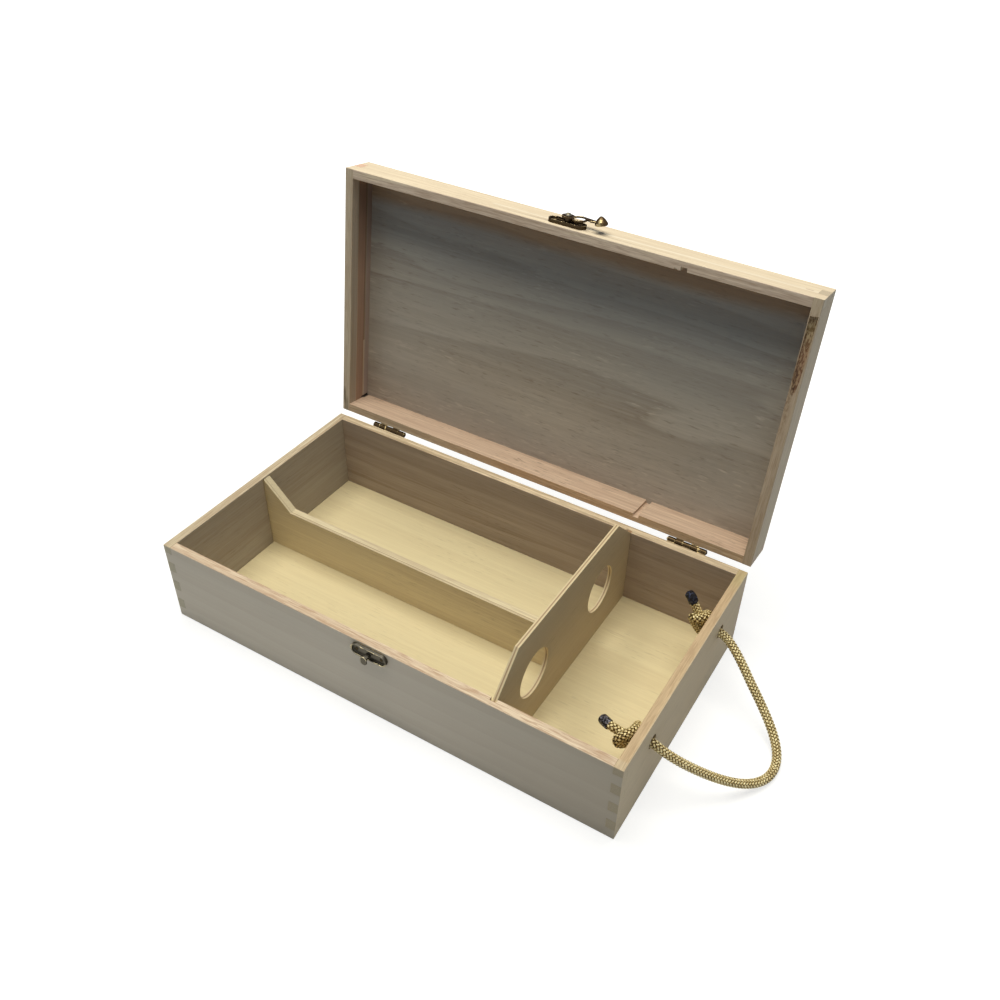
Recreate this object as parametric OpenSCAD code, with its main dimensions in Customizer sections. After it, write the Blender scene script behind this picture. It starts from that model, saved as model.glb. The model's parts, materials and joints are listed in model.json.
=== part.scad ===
// Two-bottle wooden wine box: finger-jointed base and lid sawn from one blank,
// plywood neck plate, wooden centre divider, two stop hinges, a swing latch and
// a rope handle. Millimetres, Z up. The origin is the middle of the underside,
// +X runs towards the rope handle and -Y towards the latch. The lid is drawn
// shut and then turned open about its hinges.

/* [Box] */
// Outside length of the box
box_len = 360; // [345:1:390]
// Outside depth of the box, front to back
box_dep = 196; // [190:1:216]
// Height of the base's walls
base_h = 68.6; // [66:0.2:74]
// Height of the lid's rails
lid_h = 27; // [25:0.5:32]
// Thickness of the walls and of the lid's rails
wall = 6.6; // [6:0.2:8]
// Gap between the rim and the lip of the shut lid
lid_gap = 0.4; // [0.2:0.1:0.8]
// Angle at which the hinges stop the open lid
open_angle = 98.5; // [92:0.5:105]

/* [Corner joints] */
// Number of fingers up a corner of the uncut box
finger_count = 11; // [9:2:13]
// Height of the first and the last finger
end_finger = 8.8; // [8:0.2:11]
// Wood lost where the lid was sawn from the base
saw_kerf = 2; // [1.4:0.2:2.6]

/* [Floor and lid panels] */
// Thickness of the floor panel
floor_t = 4.5; // [3.5:0.5:6]
// Thickness of the lid panel
panel_t = 3; // [2.5:0.5:4]
// Depth of the rebates that hold both panels
rebate = 3.3; // [2.8:0.1:4]

/* [Neck plate] */
// Thickness of the plywood plate
plate_t = 3.2; // [2.8:0.2:4]
// Distance from the right end of the box to the plate's right face
plate_inset = 88.3; // [80:0.5:96]
// Depth of the grooves that hold the plates
groove_d = 2.6; // [2:0.2:3.2]
// Play of a plate across its groove
groove_play = 1.2; // [0.4:0.2:1.6]
// Clearance between a plate's edge and the bottom of its groove
plate_clear = 0.3; // [0.2:0.1:0.5]
// Clearance between the plate's top and the shut lid's panel
plate_lid_clear = 0.6; // [0.4:0.1:1.5]
// Diameter of the two neck holes
neck_d = 36; // [33:0.5:38]
// Distance between the neck holes' centres
neck_gap = 92; // [84:1:98]
// Height of the neck holes' centres
neck_z = 49; // [46:0.5:52]

/* [Centre divider] */
// Thickness of the divider
divider_t = 6.6; // [3:0.2:8]
// Height of the divider's long low edge above the underside
divider_low = 44; // [36:1:50]
// Run of the slope at its left end
divider_run = 23; // [16:1:28]

/* [Hinges] */
// Length of a hinge
hinge_len = 30; // [26:1:36]
// Distance from an end of the box to a hinge's middle
hinge_inset = 48; // [40:1:60]
// Reach of a leaf from the hinge's axis
leaf_reach = 10; // [9:0.5:12]
// Thickness of a leaf
leaf_t = 0.9; // [0.7:0.1:1]
// Outside diameter of the knuckles
knuckle_d = 4.2; // [3.8:0.1:4.6]
// Diameter of the hinge pin
pin_d = 1.8; // [1.6:0.1:2]
// Length of the heel that stops the open lid
heel_len = 4.4; // [3:0.2:5]

/* [Latch] */
// Length of the latch plate and of the catch plate
tray_len = 28; // [24:0.5:30]
// Height of both plates
tray_h = 9.4; // [8.6:0.2:10.4]
// Depth of both plates
tray_t = 2.6; // [2.2:0.1:3]
// Distance from the lid's lip to the latch plate's middle
latch_up = 8.4; // [8:0.2:10]
// Distance from the base's rim to the catch plate's middle
catch_down = 6.2; // [6:0.2:8]
// Thickness of the lever
lever_t = 1.2; // [1:0.1:1.5]
// Distance from the rivet to the knob
lever_len = 25; // [24:0.5:28]
// Height of the knob over the lever's back
knob_h = 6; // [4.5:0.5:8]

/* [Nails] */
// Diameter of a nail's head
nail_head_d = 2.6; // [2.2:0.1:3]
// Diameter of a nail's shank
nail_d = 1; // [0.8:0.1:1.2]
// Length of a nail under its head
nail_len = 5.4; // [4:0.2:5.6]

/* [Rope handle] */
// Diameter of the rope
rope_d = 6.5; // [5:0.5:7]
// Diameter of the rope holes
rope_hole_d = 10; // [8:0.5:11]
// Length of a knot along the rope
knot_len = 14; // [11:1:16]

/* [Hidden] */
$fn = 48;
over = 1;

// Half sizes, inner faces and the heights of the shut box
half_len = box_len / 2;
half_dep = box_dep / 2;
in_x = half_len - wall;
in_y = half_dep - wall;
lip_z = base_h + lid_gap;
top_z = lip_z + lid_h;
panel_z = top_z - panel_t;

// Corner fingers, measured up the uncut box
uncut_h = base_h + saw_kerf + lid_h;
finger_h = (uncut_h - 2 * end_finger) / (finger_count - 2);
kerf_drop = saw_kerf - lid_gap;
function finger_low(i) = i == 0 ? 0 : end_finger + (i - 1) * finger_h;
function finger_size(i) = i == 0 || i == finger_count - 1 ? end_finger : finger_h;

// The natural hollow in the lid's right rail and the chip in its front rail
wane_start = 5;
wane_len = 58;
wane_w = 5.2;
wane_lip = 0.6;
wane_depth = 1.8;
wane_fall = 1.9;
chip_off = 3.4;
chip_len = 2.6;
chip_w = 1.8;

// Neck plate and centre divider
plate_right = half_len - plate_inset;
plate_left = plate_right - plate_t;
groove_left = plate_left - groove_play;
plate_half = in_y + groove_d - plate_clear;
plate_top = panel_z - plate_lid_clear;
plate_rise = plate_top - base_h;
shoulder = plate_half - in_y;
divider_groove = divider_t + groove_play;
divider_high = base_h - 1.4;

// Hinges
knuckle_stand = 0.5;
axis_y = half_dep + knuckle_d / 2 + knuckle_stand;
axis_z = base_h + lid_gap / 2;
knuckle_count = 5;
knuckle_gap = 0.2;
knuckle_pitch = hinge_len / knuckle_count;
knuckle_clear = 0.3;
pin_clear = 0.05;
leaf_top = knuckle_d / 2 + knuckle_clear;
heel_gap = 0.15;
heel_t = 1;
heel_lap = 0.5;
pin_head_d = 3;
pin_head_t = 0.8;
nail_inset = 3.5;
hinge_nail_x = hinge_len / 2 - nail_inset;
hinge_nail_z = (leaf_top + leaf_reach) / 2;

// Latch
tray_rim = 0.9;
tray_floor = 1.1;
latch_z = lip_z + latch_up;
catch_z = base_h - catch_down;
hook_reach = latch_z - catch_z;
tray_nail_x = tray_len / 2 - tray_h / 2 + 0.4;
lever_gap = 2.5;
lever_back = tray_t + lever_gap;
lever_face = lever_back + lever_t;
pivot_disc_r = 4.4;
rivet_d = 2.4;
rivet_clear = 0.05;
rivet_head_d = 5;
rivet_head_t = 1.3;
boss_d = 5;
boss_gap = 0.1;
stem_w = 3;
stem_h = 2;
stem_play = 0.35;
lug_t = 0.9;
lug_gap = 0.15;
lug_face = lever_face + lug_gap + lug_t;
lug_w = 5;
lug_len = 7;
lug_drop = 0.8;
notch_near = hook_reach - stem_h / 2 - stem_play;
notch_far = hook_reach + stem_h / 2 + stem_play;
arm_w = 6;
arm_far = 4.4;
arm_near = 2.2;
hook_hold = 1.2;
hook_end = notch_far + 4.2;
notch_play = 0.3;
ring_w = 10.2;
ring_l = 12.4;
ring_hole_w = 7.8;
ring_hole_l = 10;
ring_web = 1.1;
ring_x = notch_near - ring_web - ring_hole_w / 2;
knob_r = 4.4;
knob_lift = 0.3;
knob_tilt = 12;
neck_r = 1.6;
neck_side = 1.2;
neck_rise = 1.5;

// A knot's waist and belly, and the nails' pilot holes
knot_r = 7.2;
pilot_clear = 0.03;

// Rope holes
rope_y = 54.5;
rope_z = 48;
rope_rest = rope_z - (rope_hole_d - rope_d) / 2 + 0.1;
knot_x = in_x;

// Middle line of the rope between the two knots: out of the back hole, down to
// the table that the box stands on, and back up into the front hole
rope_path = [
    [in_x, rope_y, rope_rest], [half_len + 1, rope_y, rope_rest], [188, 52.2, 44.8],
    [196, 47.4, 41.6], [204, 42.2, 37], [212, 37.4, 31], [220.4, 33, 24.4],
    [228.6, 28.2, 17.8], [236, 22.6, 12.2], [241.8, 16.2, 7.7], [245.6, 8.8, 4.7],
    [246.8, 0.4, 3.5], [245.1, -8.4, 3.7], [240.4, -17.2, 5.7], [233.2, -25.6, 9.8],
    [224.6, -33.2, 15.6], [215.2, -40, 22.4], [205.4, -46.2, 30], [196.4, -50.8, 36.8],
    [188.4, -53.6, 42.4], [half_len + 1, -rope_y, rope_rest], [in_x, -rope_y, rope_rest]
];
rope_sides = 10;
loop_normal = [0.5, 0, 0.866];

// Where the rope's tails end, and the length of the tape on each
tail_back = [152.5, 57, 69.5];
tail_front = [143.5, -51.5, 44];
tape_len = 8;

// ---------- Wood ----------

// Squares at the four corners where the walls interlock
module corner_posts() {
    for (sx = [-1, 1]) {
        for (sy = [-1, 1]) {
            translate([sx * (in_x + (wall + over) / 2), sy * (in_y + (wall + over) / 2), uncut_h / 2])
                cube([wall + over, wall + over, uncut_h + 4 * over], center = true);
        }
    }
}

// Fingers of one parity, as slabs through the whole box
module finger_slabs(parity) {
    for (i = [parity:2:finger_count - 1]) {
        translate([-half_len - over, -half_dep - over, finger_low(i)])
            cube([box_len + 2 * over, box_dep + 2 * over, finger_size(i)]);
    }
}

module corner_cuts(parity) {
    intersection() {
        corner_posts();
        finger_slabs(parity);
    }
}

// A panel let in flush with the outside, or the recess that holds it
module panel(z, t) {
    translate([-in_x - rebate, -in_y - rebate, z])
        cube([2 * (in_x + rebate), 2 * (in_y + rebate), t]);
}

// The grooves in the front and the back for the neck plate
module plate_grooves() {
    translate([groove_left, -in_y - groove_d, -over])
        cube([plate_right - groove_left, 2 * (in_y + groove_d), top_z + 2 * over]);
}

// The groove in the left wall for the centre divider, stopped below the rim
module divider_slot() {
    translate([-in_x - groove_d, -divider_groove / 2, -over])
        cube([groove_d + over, divider_groove, divider_high + over]);
}

// A wall along X at the front (-1) or the back (1), full height of base or lid
module long_board(side, z, h) {
    translate([-half_len, side < 0 ? -half_dep : in_y, z])
        cube([box_len, wall, h]);
}

// A wall along Y at the left (-1) or the right (1)
module short_board(side, z, h) {
    translate([side < 0 ? -half_len : in_x, -half_dep, z])
        cube([wall, box_dep, h]);
}

module base_long_wall(side) {
    difference() {
        long_board(side, 0, base_h);
        corner_cuts(1);
        panel(-over, floor_t + over);
        plate_grooves();
        children();
    }
}

module base_short_wall(side) {
    difference() {
        short_board(side, 0, base_h);
        corner_cuts(0);
        panel(-over, floor_t + over);
        children();
    }
}

module lid_long_rail(side) {
    difference() {
        long_board(side, lip_z, lid_h);
        translate([0, 0, -kerf_drop]) corner_cuts(1);
        panel(panel_z, panel_t + over);
        plate_grooves();
        children();
    }
}

module lid_short_rail(side) {
    difference() {
        short_board(side, lip_z, lid_h);
        translate([0, 0, -kerf_drop]) corner_cuts(0);
        panel(panel_z, panel_t + over);
        children();
    }
}

// Turns what is drawn on the shut lid to where the open lid carries it
module lid_open() {
    translate([0, axis_y, axis_z])
        rotate([-open_angle, 0, 0])
            translate([0, -axis_y, -axis_z])
                children();
}

module front_wall() {
    color("#B9AE98")
        base_long_wall(-1) on_front(catch_z) tray_nail_holes();
}

module back_wall() {
    color("#B5A78D")
        base_long_wall(1) hinge_nail_holes(-1);
}

module left_wall() {
    color("#B9AA8F") base_short_wall(-1) divider_slot();
}

module right_wall() {
    color("#AB9F8A")
        base_short_wall(1) {
            for (side = [-1, 1]) {
                translate([in_x - over, side * rope_y, rope_z])
                    rotate([0, 90, 0])
                        cylinder(d = rope_hole_d, h = wall + 2 * over);
            }
        }
}

module floor_panel() {
    color("#DCCB9A") panel(0, floor_t);
}

module lid_front_rail() {
    color("#E3D3B0")
        lid_open() lid_long_rail(-1) {
            on_front(latch_z) tray_nail_holes();
            lip_chip();
        }
}

module lid_back_rail() {
    color("#D9B48F")
        lid_open() lid_long_rail(1) hinge_nail_holes(1);
}

module lid_left_rail() {
    color("#8D7A62") lid_open() lid_short_rail(-1);
}

module lid_right_rail() {
    color("#8A7B66") lid_open() lid_short_rail(1) wane();
}

module lid_panel() {
    color("#6E665A") lid_open() panel(panel_z, panel_t);
}

// A splinter lost from the front rail's lip beside the groove
module lip_chip() {
    translate([groove_left - chip_off, -in_y, lip_z])
        rotate([0, 0, 18])
            cube([chip_len, chip_w, chip_w], center = true);
}

// A rough natural hollow along the right rail's lip, deepest near the front
module wane() {
    translate([in_x + wane_lip, wane_start - in_y, lip_z - over])
        rotate([-wane_fall, 0, 0])
            linear_extrude(wane_depth + over)
                polygon([
                    [0, 0], [wane_w, -wane_lip], [0.94 * wane_w, 0.41 * wane_len],
                    [0.85 * wane_w, 0.72 * wane_len], [0.58 * wane_w, 0.95 * wane_len],
                    [0.2 * wane_w, wane_len], [0, 0.7 * wane_len]
                ]);
}

// ---------- Neck plate and centre divider ----------

module neck_plate() {
    color("#D8C69C")
        difference() {
            translate([plate_left, 0, 0])
                rotate([90, 0, 90])
                    linear_extrude(plate_t)
                        polygon([
                            [-plate_half, floor_t], [plate_half, floor_t],
                            [plate_half, base_h - shoulder], [in_y - plate_rise, plate_top],
                            [plate_rise - in_y, plate_top], [-plate_half, base_h - shoulder]
                        ]);
            for (side = [-1, 1]) {
                translate([plate_left - over, side * neck_gap / 2, neck_z])
                    rotate([0, 90, 0])
                        cylinder(d = neck_d, h = plate_t + 2 * over, $fn = 96);
            }
        }
}

module centre_divider() {
    divider_end = -in_x - groove_d + plate_clear;
    color("#D8C69C")
        translate([0, divider_t / 2, 0])
            rotate([90, 0, 0])
                linear_extrude(divider_t)
                    polygon([
                        [divider_end, floor_t], [plate_left - plate_clear, floor_t],
                        [plate_left - plate_clear, divider_low], [divider_run - in_x, divider_low],
                        [-in_x, divider_high], [divider_end, divider_high]
                    ]);
}

// ---------- Nails ----------

// A round-headed nail driven along -Z from the plane z = 0
module nail() {
    cylinder(d1 = nail_head_d, d2 = nail_head_d * 0.6, h = 0.6, $fn = 24);
    translate([0, 0, -nail_len]) cylinder(d = nail_d, h = nail_len + 0.1, $fn = 24);
}

module nail_hole() {
    translate([0, 0, -nail_len - 0.2])
        cylinder(d = nail_d + 2 * pilot_clear, h = nail_len + 0.2 + over, $fn = 24);
}

// ---------- Hinges ----------

module at_hinges() {
    for (side = [-1, 1]) {
        translate([side * (half_len - hinge_inset), 0, 0]) children();
    }
}

// Turns a nail or its hole to a leaf's two places, up = -1 on the base, 1 on the lid
module leaf_nail_places(up) {
    for (side = [-1, 1]) {
        translate([side * hinge_nail_x, half_dep + leaf_t, axis_z + up * hinge_nail_z])
            rotate([-90, 0, 0]) children();
    }
}

module hinge_nail_holes(up) {
    at_hinges() leaf_nail_places(up) nail_hole();
}

module knuckle(i) {
    translate([-hinge_len / 2 + i * knuckle_pitch + knuckle_gap / 2, axis_y, axis_z])
        rotate([0, 90, 0])
            cylinder(d = knuckle_d, h = knuckle_pitch - knuckle_gap);
}

module knuckle_tab(i, up) {
    translate([
        -hinge_len / 2 + i * knuckle_pitch + knuckle_gap / 2, half_dep,
        up > 0 ? axis_z : axis_z - leaf_top - 0.1
    ])
        cube([knuckle_pitch - knuckle_gap, leaf_t, leaf_top + 0.1]);
}

// One leaf in the shut position: parity 0 on the base, 1 on the lid
module hinge_leaf(parity) {
    up = parity == 0 ? -1 : 1;
    difference() {
        union() {
            translate([-hinge_len / 2, half_dep, axis_z + (up > 0 ? leaf_top : -leaf_reach)])
                cube([hinge_len, leaf_t, leaf_reach - leaf_top]);
            for (i = [parity:2:knuckle_count - 1]) {
                knuckle(i);
                knuckle_tab(i, up);
            }
        }
        translate([-hinge_len / 2 - over, axis_y, axis_z])
            rotate([0, 90, 0])
                cylinder(d = pin_d + 2 * pin_clear, h = hinge_len + 2 * over);
        leaf_nail_places(up) nail_hole();
    }
}

// The heels on the lid's knuckles that meet the base's leaf when the lid is open
module heels() {
    for (i = [1:2:knuckle_count - 1]) {
        translate([
            -hinge_len / 2 + i * knuckle_pitch + knuckle_gap / 2,
            half_dep + leaf_t + heel_gap, axis_z - knuckle_d / 2 + heel_lap - heel_len
        ])
            cube([knuckle_pitch - knuckle_gap, heel_t, heel_len]);
    }
}

module hinge_pin() {
    reach = hinge_len / 2 - knuckle_gap / 2;
    translate([0, axis_y, axis_z])
        rotate([0, 90, 0]) {
            translate([0, 0, -reach - 0.1]) cylinder(d = pin_d, h = 2 * reach + 0.2);
            translate([0, 0, reach]) cylinder(d1 = pin_head_d, d2 = pin_head_d * 0.5, h = pin_head_t);
            translate([0, 0, -reach - pin_head_t])
                cylinder(d1 = pin_head_d * 0.5, d2 = pin_head_d, h = pin_head_t);
        }
}

module hinge_base_leaf(side) {
    color("#8A6A2F") translate([side * (half_len - hinge_inset), 0, 0]) hinge_leaf(0);
}

module hinge_lid_leaf(side) {
    color("#9A7A3C")
        translate([side * (half_len - hinge_inset), 0, 0]) {
            lid_open() hinge_leaf(1);
            heels();
        }
}

module hinge_base_leaf_left() { hinge_base_leaf(-1); }
module hinge_base_leaf_right() { hinge_base_leaf(1); }
module hinge_lid_leaf_left() { hinge_lid_leaf(-1); }
module hinge_lid_leaf_right() { hinge_lid_leaf(1); }

module hinge_pin_left() {
    color("#5E4A25") translate([hinge_inset - half_len, 0, 0]) hinge_pin();
}

module hinge_pin_right() {
    color("#5E4A25") translate([half_len - hinge_inset, 0, 0]) hinge_pin();
}

module hinge_base_nails() {
    color("#C9A84E") at_hinges() leaf_nail_places(-1) nail();
}

module hinge_lid_nails() {
    color("#C9A84E") lid_open() at_hinges() leaf_nail_places(1) nail();
}

// ---------- Latch ----------

// Places a flat drawing on the box's front at height z, drawn up = up, z = out
module on_front(z) {
    translate([0, -half_dep, z]) rotate([90, 0, 0]) children();
}

module stadium(len, h) {
    square([len - h, h], center = true);
    for (side = [-1, 1]) {
        translate([side * (len - h) / 2, 0]) circle(d = h);
    }
}

// A shallow pressed plate with a raised rim
module tray() {
    difference() {
        linear_extrude(tray_t) stadium(tray_len, tray_h);
        translate([0, 0, tray_floor])
            linear_extrude(tray_t) stadium(tray_len - 2 * tray_rim, tray_h - 2 * tray_rim);
        tray_nail_holes();
    }
}

module tray_nail_places() {
    for (side = [-1, 1]) {
        translate([side * tray_nail_x, 0, tray_floor]) children();
    }
}

module tray_nail_holes() {
    tray_nail_places() nail_hole();
}

module catch_plate() {
    color("#6F5B33")
        on_front(catch_z) {
            tray();
            translate([-stem_w / 2, -stem_h / 2, tray_floor - 0.2])
                cube([stem_w, stem_h, lug_face - tray_floor]);
            translate([0, -lug_drop, lug_face - lug_t])
                linear_extrude(lug_t)
                    rotate(90) stadium(lug_len, lug_w);
        }
}

module catch_nails() {
    color("#C9A84E") on_front(catch_z) tray_nail_places() nail();
}

module latch_plate() {
    color("#6F5B33")
        lid_open() on_front(latch_z)
            difference() {
                union() {
                    tray();
                    cylinder(d = boss_d, h = lever_back - boss_gap);
                }
                translate([0, 0, -over])
                    cylinder(d = rivet_d + 2 * rivet_clear, h = lever_face + over);
            }
}

module latch_nails() {
    color("#C9A84E") lid_open() on_front(latch_z) tray_nail_places() nail();
}

module latch_rivet() {
    color("#A98B48")
        lid_open() on_front(latch_z) {
            cylinder(d = rivet_d, h = lever_face + boss_gap + 0.1);
            translate([0, 0, lever_face + boss_gap])
                cylinder(d1 = rivet_head_d, d2 = rivet_head_d * 0.6, h = rivet_head_t);
        }
}

// The lever's flat outline, swung sideways: the hook's notch opens downwards
module lever_outline() {
    hold = stem_w / 2 - hook_hold;
    difference() {
        union() {
            circle(r = pivot_disc_r);
            translate([0, -arm_w / 2]) square([ring_x, arm_w]);
            translate([ring_x, 0]) rotate(90) stadium(ring_l, ring_w);
            polygon([
                [ring_x, ring_l / 2], [hook_end, arm_far], [hook_end, arm_near],
                [notch_far, hold], [ring_x, hold]
            ]);
        }
        translate([notch_near, -ring_l])
            square([notch_far - notch_near, ring_l + stem_w / 2 + notch_play]);
        translate([ring_x, 0]) rotate(90) stadium(ring_hole_l, ring_hole_w);
        circle(d = rivet_d + 2 * rivet_clear);
    }
}

// The lever, with a neck that rises to the knob at its end
module latch_lever() {
    color("#7A6437")
        lid_open() on_front(latch_z)
            translate([0, 0, lever_back]) {
                linear_extrude(lever_t) lever_outline();
                hull() {
                    translate([hook_end - 1, arm_near, 0])
                        cube([1, arm_far - arm_near, lever_t]);
                    translate([lever_len - knob_r / 2, neck_side, neck_rise])
                        cylinder(r = neck_r, h = lever_t);
                }
                translate([lever_len, 0, knob_lift]) rotate([0, -knob_tilt, 0])
                    rotate_extrude()
                        polygon([
                            [0, 0], [knob_r - 0.5, 0], [knob_r, 0.5], [knob_r, 1.4],
                            [knob_r - 0.5, 0.4 * knob_h], [knob_r - 1.6, 0.68 * knob_h],
                            [knob_r - 2.9, 0.9 * knob_h], [0.5, knob_h], [0, knob_h]
                        ]);
            }
}

// ---------- Rope handle ----------

function unit(v) = v / norm(v);

function path_dir(p, i) = unit(p[min(i + 1, len(p) - 1)] - p[max(i - 1, 0)]);

// The corners of the tube's ring at point i of path p
function tube_ring(p, i, d, sides) =
    let (t = path_dir(p, i), a = unit(cross(t, loop_normal)), b = cross(a, t))
    [for (k = [0:sides - 1]) p[i] + d / 2 * (cos(360 * k / sides) * a + sin(360 * k / sides) * b)];

module swept_tube(p, d, sides) {
    rings = len(p);
    points = [for (i = [0:rings - 1]) each tube_ring(p, i, d, sides)];
    skin = [
        for (i = [0:rings - 2]) for (k = [0:sides - 1])
            let (m = (k + 1) % sides, u = i * sides, v = u + sides)
            each [[u + k, u + m, v + m], [u + k, v + m, v + k]]
    ];
    ends = [
        [for (k = [sides - 1:-1:0]) k],
        [for (k = [0:sides - 1]) (rings - 1) * sides + k]
    ];
    polyhedron(points = points, faces = concat(skin, ends));
}

module rope_handle() {
    color("#B99B4B") swept_tube(rope_path, rope_d, rope_sides);
}

// A rod from point a to point b
module rod(a, b, d) {
    v = b - a;
    translate(a)
        rotate([0, acos(v[2] / norm(v)), atan2(v[1], v[0])])
            cylinder(d = d, h = norm(v));
}

// An overhand knot drawn tight against the wall, as two turns side by side, and its tail
module rope_knot(y, tail_end) {
    turn = knot_len / 4;
    belly = [knot_x - 3 * turn, y, rope_rest + 2];
    stop = tail_end - tape_len * unit(tail_end - belly);
    translate([knot_x - knot_len, y, rope_rest])
        rotate([0, 90, 0])
            rotate_extrude() {
                translate([0, 0.5]) square([knot_r - turn, knot_len - 0.5]);
                for (i = [1, 3]) {
                    intersection() {
                        translate([knot_r - turn, i * turn]) circle(r = turn);
                        translate([0, 0.3]) square([knot_r, knot_len - 0.3]);
                    }
                }
            }
    rod(belly, stop, rope_d);
}

// The tape round the cut end of a tail
module rope_tip(y, tail_end) {
    turn = knot_len / 4;
    belly = [knot_x - 3 * turn, y, rope_rest + 2];
    rod(tail_end - tape_len * unit(tail_end - belly), tail_end, rope_d + 0.4);
}

module rope_knot_back() { color("#B99B4B") rope_knot(rope_y, tail_back); }
module rope_knot_front() { color("#B99B4B") rope_knot(-rope_y, tail_front); }
module rope_tip_back() { color("#232C45") rope_tip(rope_y, tail_back); }
module rope_tip_front() { color("#3A4152") rope_tip(-rope_y, tail_front); }

front_wall();
back_wall();
left_wall();
right_wall();
floor_panel();
neck_plate();
centre_divider();
catch_plate();
catch_nails();
hinge_base_leaf_left();
hinge_base_leaf_right();
hinge_pin_left();
hinge_pin_right();
hinge_base_nails();
lid_front_rail();
lid_back_rail();
lid_left_rail();
lid_right_rail();
lid_panel();
hinge_lid_leaf_left();
hinge_lid_leaf_right();
hinge_lid_nails();
latch_plate();
latch_nails();
latch_rivet();
latch_lever();
rope_handle();
rope_knot_back();
rope_knot_front();
rope_tip_back();
rope_tip_front();
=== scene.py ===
import bmesh
import bpy
import json
import math
import numpy as np
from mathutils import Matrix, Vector
from mathutils.bvhtree import BVHTree


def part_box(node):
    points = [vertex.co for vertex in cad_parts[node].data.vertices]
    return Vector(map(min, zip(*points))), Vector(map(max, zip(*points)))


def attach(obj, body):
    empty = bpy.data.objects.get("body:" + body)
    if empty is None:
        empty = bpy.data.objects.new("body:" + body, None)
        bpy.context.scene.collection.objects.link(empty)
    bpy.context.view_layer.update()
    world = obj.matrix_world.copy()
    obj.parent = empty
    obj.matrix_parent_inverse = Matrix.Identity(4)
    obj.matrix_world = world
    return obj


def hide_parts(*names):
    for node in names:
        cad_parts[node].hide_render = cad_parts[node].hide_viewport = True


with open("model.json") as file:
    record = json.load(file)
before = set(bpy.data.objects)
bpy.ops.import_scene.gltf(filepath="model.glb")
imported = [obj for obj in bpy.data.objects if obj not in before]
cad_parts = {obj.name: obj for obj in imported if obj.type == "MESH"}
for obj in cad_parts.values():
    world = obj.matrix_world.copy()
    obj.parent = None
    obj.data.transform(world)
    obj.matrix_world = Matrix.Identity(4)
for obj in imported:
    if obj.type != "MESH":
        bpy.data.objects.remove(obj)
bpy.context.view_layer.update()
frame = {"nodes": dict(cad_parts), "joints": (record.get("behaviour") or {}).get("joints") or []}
cad = frame["nodes"]
mm = 0.001

# ---------- Camera ----------
# Stands in front of the right-hand corner and looks down into the open box, with a
# slight tilt and a small shift of the frame.


def placed(name, data):
    """A new object with this data, linked into the scene."""
    made = bpy.data.objects.new(name, data)
    bpy.context.scene.collection.objects.link(made)
    return made


camera = placed("camera", bpy.data.cameras.new("camera"))
camera.location = (0.29477, -0.42901, 0.54283)
camera.rotation_euler = [math.radians(a) for a in (50.2585, -2.1279, 30.2704)]
camera.data.sensor_fit = "HORIZONTAL"
camera.data.sensor_width = 36
camera.data.lens = 36.084
camera.data.shift_x = -0.03566
camera.data.shift_y = 0.01362
camera.data.clip_start = 0.01
bpy.context.scene.camera = camera

# ---------- Rope handle ----------
# A braided gold cord, 6.5 mm thick, that runs out of the back hole, lies on the
# table and returns into the front hole. Ten rows of satin stitches cover a core.

rope_d = 6.5 * mm
rope_rest_z = 46.35
rope_route = [
    (173.4, 54.5, rope_rest_z), (181, 54.5, rope_rest_z), (188, 52.2, 44.8),
    (196, 47.4, 41.6), (204, 42.2, 37), (212, 37.4, 31), (220.4, 33, 24.4),
    (228.6, 28.2, 17.8), (236, 22.6, 12.2), (241.8, 16.2, 7.7), (245.6, 8.8, 4.7),
    (246.8, 0.4, 3.5), (245.1, -8.4, 3.7), (240.4, -17.2, 5.7), (233.2, -25.6, 9.8),
    (224.6, -33.2, 15.6), (215.2, -40, 22.4), (205.4, -46.2, 30), (196.4, -50.8, 36.8),
    (188.4, -53.6, 42.4), (181, -54.5, rope_rest_z), (173.4, -54.5, rope_rest_z),
]


def put(tree, kind, sockets=None, **settings):
    """A new node in a tree, with its settings, and its inputs set or linked."""
    node = tree.nodes.new(kind)
    for key, value in settings.items():
        setattr(node, key, value)
    for key, value in (sockets or {}).items():
        if isinstance(value, bpy.types.NodeSocket):
            tree.links.new(value, node.inputs[key])
        else:
            node.inputs[key].default_value = value
    return node


def calc(tree, operation, a, b=0.0, c=0.0):
    """A Math node's result."""
    return put(tree, "ShaderNodeMath", {0: a, 1: b, 2: c}, operation=operation).outputs[0]


def vector(tree, operation, a, b=(0, 0, 0)):
    """A Vector Math node's vector result."""
    return put(tree, "ShaderNodeVectorMath", {0: a, 1: b}, operation=operation).outputs[0]


def scaled(tree, a, factor):
    """A vector times a number."""
    node = put(tree, "ShaderNodeVectorMath", {0: a, "Scale": factor}, operation="SCALE")
    return node.outputs[0]


def split(tree, a):
    """A vector's X, Y and Z."""
    return put(tree, "ShaderNodeSeparateXYZ", {0: a}).outputs


def smooth_line(points, step):
    """Points about one step apart on a smooth line through the given points."""
    points = [Vector(p) for p in points]
    points = [2 * points[0] - points[1]] + points + [2 * points[-1] - points[-2]]
    line = []
    for a, b, c, d in zip(points, points[1:], points[2:], points[3:]):
        count = max(1, round((c - b).length / step))
        for i in range(count):
            t = i / count
            line.append(0.5 * (2 * b + t * (c - a) + t * t * (2 * a - 5 * b + 4 * c - d)
                               + t * t * t * (3 * b - a - 3 * c + d)))
    line.append(points[-2])
    return line


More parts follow.
